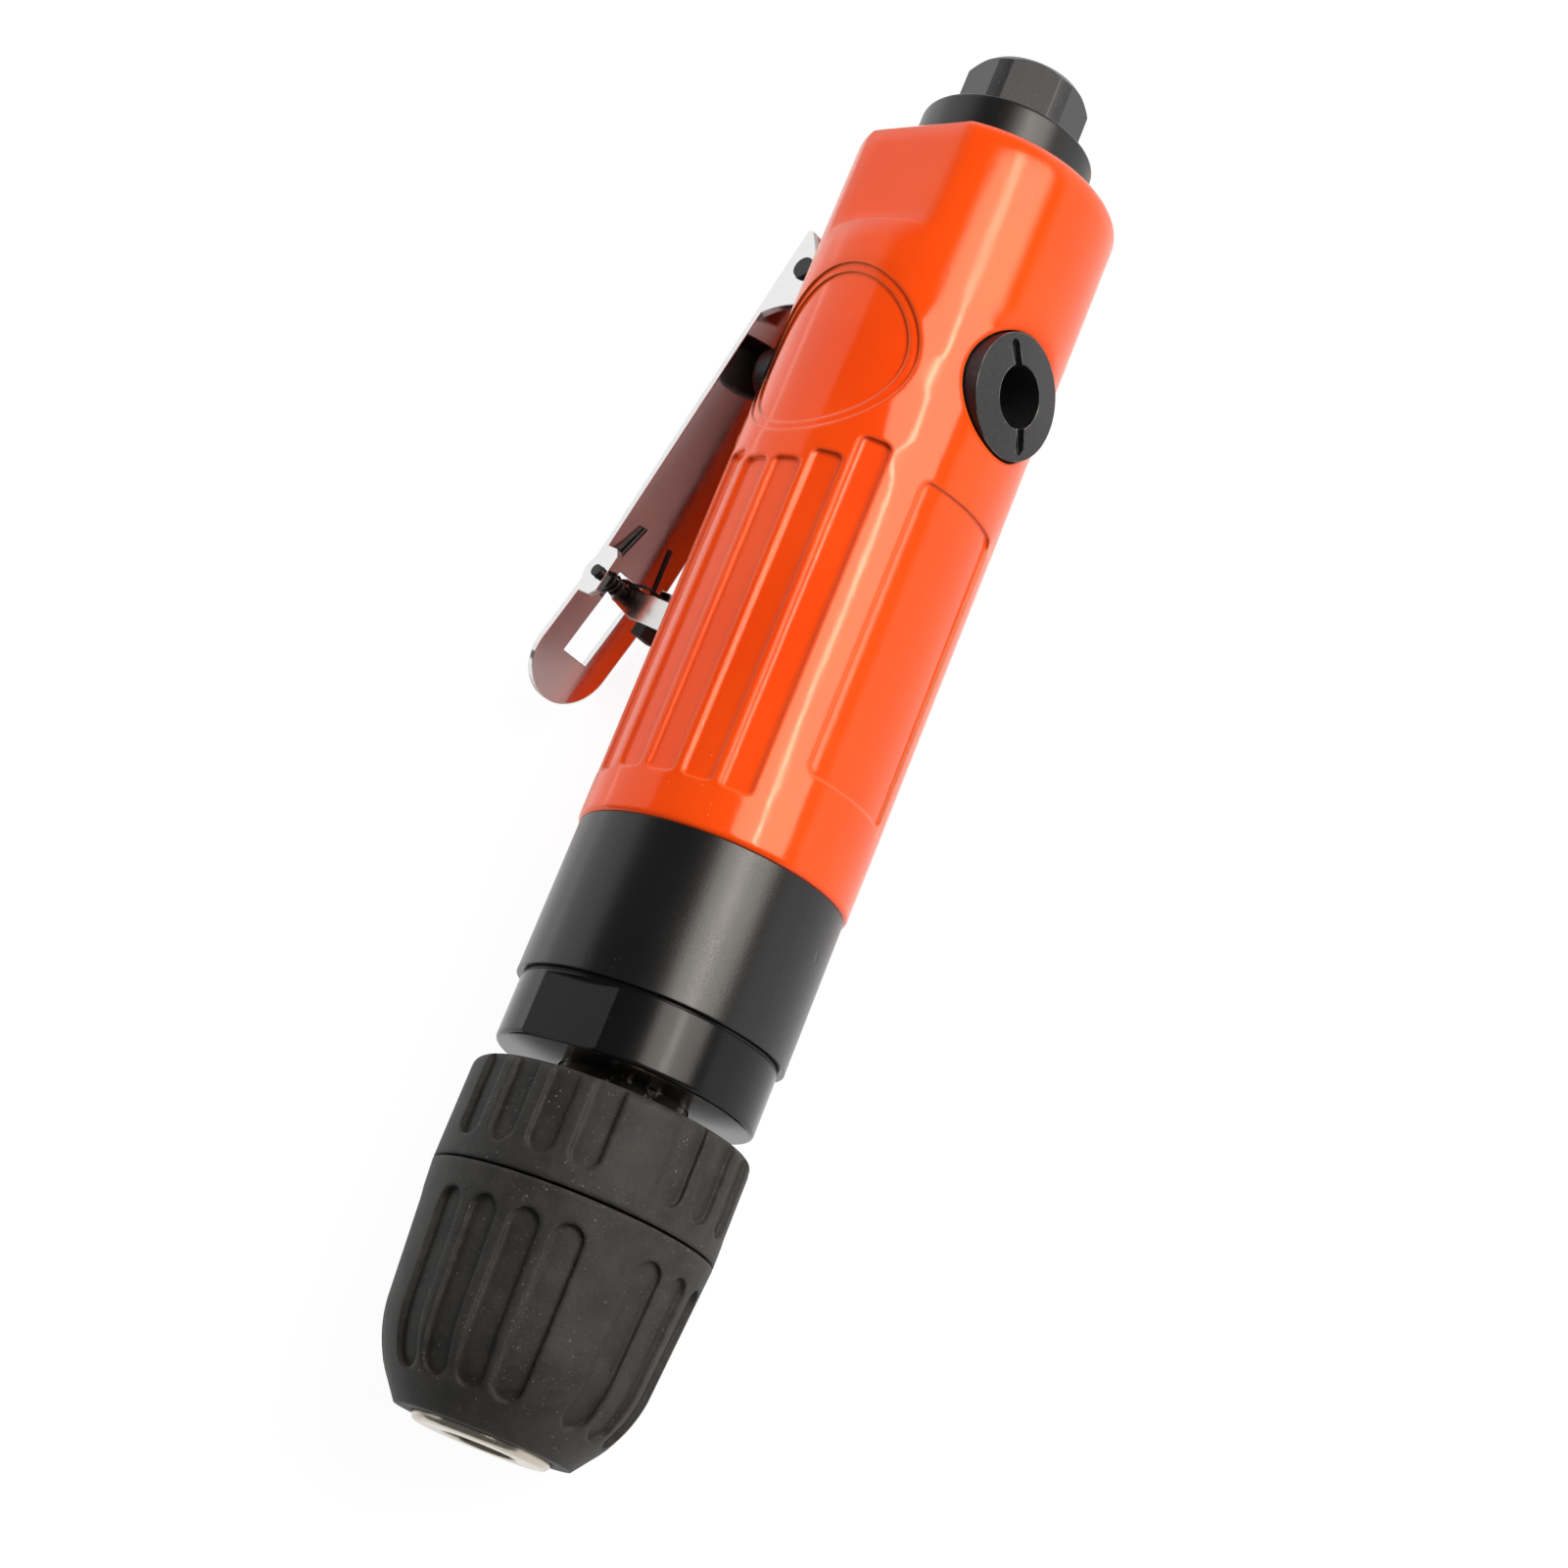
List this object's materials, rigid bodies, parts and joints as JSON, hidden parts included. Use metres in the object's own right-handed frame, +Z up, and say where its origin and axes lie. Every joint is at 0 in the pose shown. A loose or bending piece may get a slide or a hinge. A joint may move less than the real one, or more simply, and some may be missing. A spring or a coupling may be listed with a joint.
{
  "type": "air drill",
  "caption": "Inline air drill with an orange fluted housing, lever throttle with folding safety catch, planetary gear stage and fluted keyless chuck",
  "frame": {"origin": "centre of the chuck mouth, on the front face of the nose ring", "axes": "+X along the spindle out of the chuck; the tool lies on its side on the bench with +Z up; the lever points to -Y and slightly down"},
  "size_m": [0.216, 0.0693, 0.0407],
  "materials": {
    "orange_paint": "gloss orange enamel on the aluminium housing",
    "black_coat": "satin black coat on steel",
    "black_oxide": "oiled black oxide on steel",
    "chrome_plate": "bright nickel chrome plate",
    "chuck_plastic": "matt black glass-filled plastic",
    "steel": "ground steel",
    "race_steel": "polished bearing steel",
    "spindle_steel": "turned steel, tempered brown",
    "aluminium": "turned aluminium",
    "brass": "turned brass",
    "vane_fibre": "brown resin fibre",
    "rubber": "black seal rubber"
  },
  "bodies": {
    "tool": {"housing": "orange_paint", "gear_case": "black_coat", "clamp_nut": "black_coat", "exhaust_collar": "black_coat", "inlet_bushing": "black_oxide", "inlet_screen": "brass", "motor_cylinder": "steel", "front_end_plate": "aluminium", "rear_end_plate": "aluminium", "locating_pin": "steel", "front_bearing_outer_race": "race_steel", "rear_bearing_outer_race": "race_steel", "spindle_bearing_outer_race": "race_steel", "ring_gear": "steel", "lever_pin": "black_oxide", "valve_spring": "steel"},
    "spindle_group": {"spindle": "steel", "spindle_collar": "spindle_steel", "spindle_bearing_inner_race": "race_steel", "planet_pins": "steel", "chuck_body": "chrome_plate", "rear_sleeve": "chuck_plastic"},
    "spindle_ball_set": {"spindle_bearing_balls": "race_steel"},
    "rotor_group": {"rotor": "steel", "vanes": "vane_fibre", "front_bearing_inner_race": "race_steel", "rear_bearing_inner_race": "race_steel"},
    "front_ball_set": {"front_bearing_balls": "race_steel"},
    "rear_ball_set": {"rear_bearing_balls": "race_steel"},
    "planet_1": {"planet_gear_1": "steel"},
    "planet_2": {"planet_gear_2": "steel"},
    "planet_3": {"planet_gear_3": "steel"},
    "chuck_sleeve": {"front_sleeve": "chuck_plastic", "chuck_nut": "steel"},
    "jaw_1": {"chuck_jaw_1": "steel"},
    "jaw_2": {"chuck_jaw_2": "steel"},
    "jaw_3": {"chuck_jaw_3": "steel"},
    "lever": {"throttle_lever": "chrome_plate", "catch_pin": "black_oxide", "catch_spring": "black_oxide"},
    "catch": {"safety_catch": "chrome_plate", "catch_pad": "rubber"},
    "plunger": {"throttle_plunger": "black_oxide", "plunger_seal": "rubber", "throttle_valve": "brass"},
    "regulator_group": {"regulator": "black_oxide", "regulator_seal": "rubber", "valve_plug": "black_oxide"}
  },
  "joints": [
    {"name": "spindle_spin", "type": "hinge", "parent": "tool", "child": "spindle_group", "pos_m": [0, 0, 0], "axis": [1, 0, 0], "continuous": true},
    {"name": "rotor_spin", "type": "hinge", "parent": "tool", "child": "rotor_group", "pos_m": [0, 0, 0], "axis": [1, 0, 0], "continuous": true},
    {"name": "spindle_balls_roll", "type": "hinge", "parent": "tool", "child": "spindle_ball_set", "pos_m": [0, 0, 0], "axis": [1, 0, 0], "continuous": true},
    {"name": "front_balls_roll", "type": "hinge", "parent": "tool", "child": "front_ball_set", "pos_m": [0, 0, 0], "axis": [1, 0, 0], "continuous": true},
    {"name": "rear_balls_roll", "type": "hinge", "parent": "tool", "child": "rear_ball_set", "pos_m": [0, 0, 0], "axis": [1, 0, 0], "continuous": true},
    {"name": "planet_1_spin", "type": "hinge", "parent": "spindle_group", "child": "planet_1", "pos_m": [-0.06922, -0.00839, -0.00258], "axis": [1, 0, 0], "continuous": true},
    {"name": "planet_2_spin", "type": "hinge", "parent": "spindle_group", "child": "planet_2", "pos_m": [-0.06922, 0.00643, -0.00597], "axis": [1, 0, 0], "continuous": true},
    {"name": "planet_3_spin", "type": "hinge", "parent": "spindle_group", "child": "planet_3", "pos_m": [-0.06922, 0.00196, 0.00856], "axis": [1, 0, 0], "continuous": true},
    {"name": "chuck_sleeve_turn", "type": "hinge", "parent": "spindle_group", "child": "chuck_sleeve", "pos_m": [0, 0, 0], "axis": [1, 0, 0], "range_deg": [0, 3241]},
    {"name": "jaw_1_slide", "type": "slide", "parent": "spindle_group", "child": "jaw_1", "axis": [0.9659, 0.2473, 0.0762], "range_m": [0, 0.01855]},
    {"name": "jaw_2_slide", "type": "slide", "parent": "spindle_group", "child": "jaw_2", "axis": [0.9659, -0.1897, 0.1761], "range_m": [0, 0.01855]},
    {"name": "jaw_3_slide", "type": "slide", "parent": "spindle_group", "child": "jaw_3", "axis": [0.9659, -0.0577, -0.2523], "range_m": [0, 0.01855]},
    {"name": "lever_press", "type": "hinge", "parent": "tool", "child": "lever", "pos_m": [-0.1796, -0.02198, -0.00677], "axis": [0, -0.2945, 0.9557], "range_deg": [0, 12], "stiffness_Nm_per_rad": 0.8, "springref_deg": -8.59},
    {"name": "catch_fold", "type": "hinge", "parent": "lever", "child": "catch", "pos_m": [-0.12593, -0.03701, -0.0114], "axis": [0, 0.2945, -0.9557], "range_deg": [0, 72]},
    {"name": "plunger_slide", "type": "slide", "parent": "tool", "child": "plunger", "axis": [0, 0.9557, 0.2945], "range_m": [0, 0.00235], "deforming": ["valve_spring"]},
    {"name": "regulator_turn", "type": "hinge", "parent": "tool", "child": "regulator_group", "pos_m": [-0.16089, 0, 0], "axis": [0, 0.9557, 0.2945], "range_deg": [0, 90]}
  ],
  "couplings": [
    {"joint": "rotor_spin", "follows": "spindle_spin", "ratio": 6},
    {"joint": "spindle_balls_roll", "follows": "spindle_spin", "ratio": 0.4157},
    {"joint": "front_balls_roll", "follows": "spindle_spin", "ratio": 2.44},
    {"joint": "rear_balls_roll", "follows": "spindle_spin", "ratio": 2.44},
    {"joint": "planet_1_spin", "follows": "spindle_spin", "ratio": -2.5},
    {"joint": "planet_2_spin", "follows": "spindle_spin", "ratio": -2.5},
    {"joint": "planet_3_spin", "follows": "spindle_spin", "ratio": -2.5},
    {"joint": "chuck_sleeve_turn", "follows": "jaw_1_slide", "rad_per_m": 3049.1},
    {"joint": "jaw_2_slide", "follows": "jaw_1_slide", "ratio": 1},
    {"joint": "jaw_3_slide", "follows": "jaw_1_slide", "ratio": 1},
    {"joint": "catch_fold", "follows": "lever_press", "ratio": 6},
    {"joint": "plunger_slide", "follows": "lever_press", "m_per_rad": 0.010994}
  ]
}
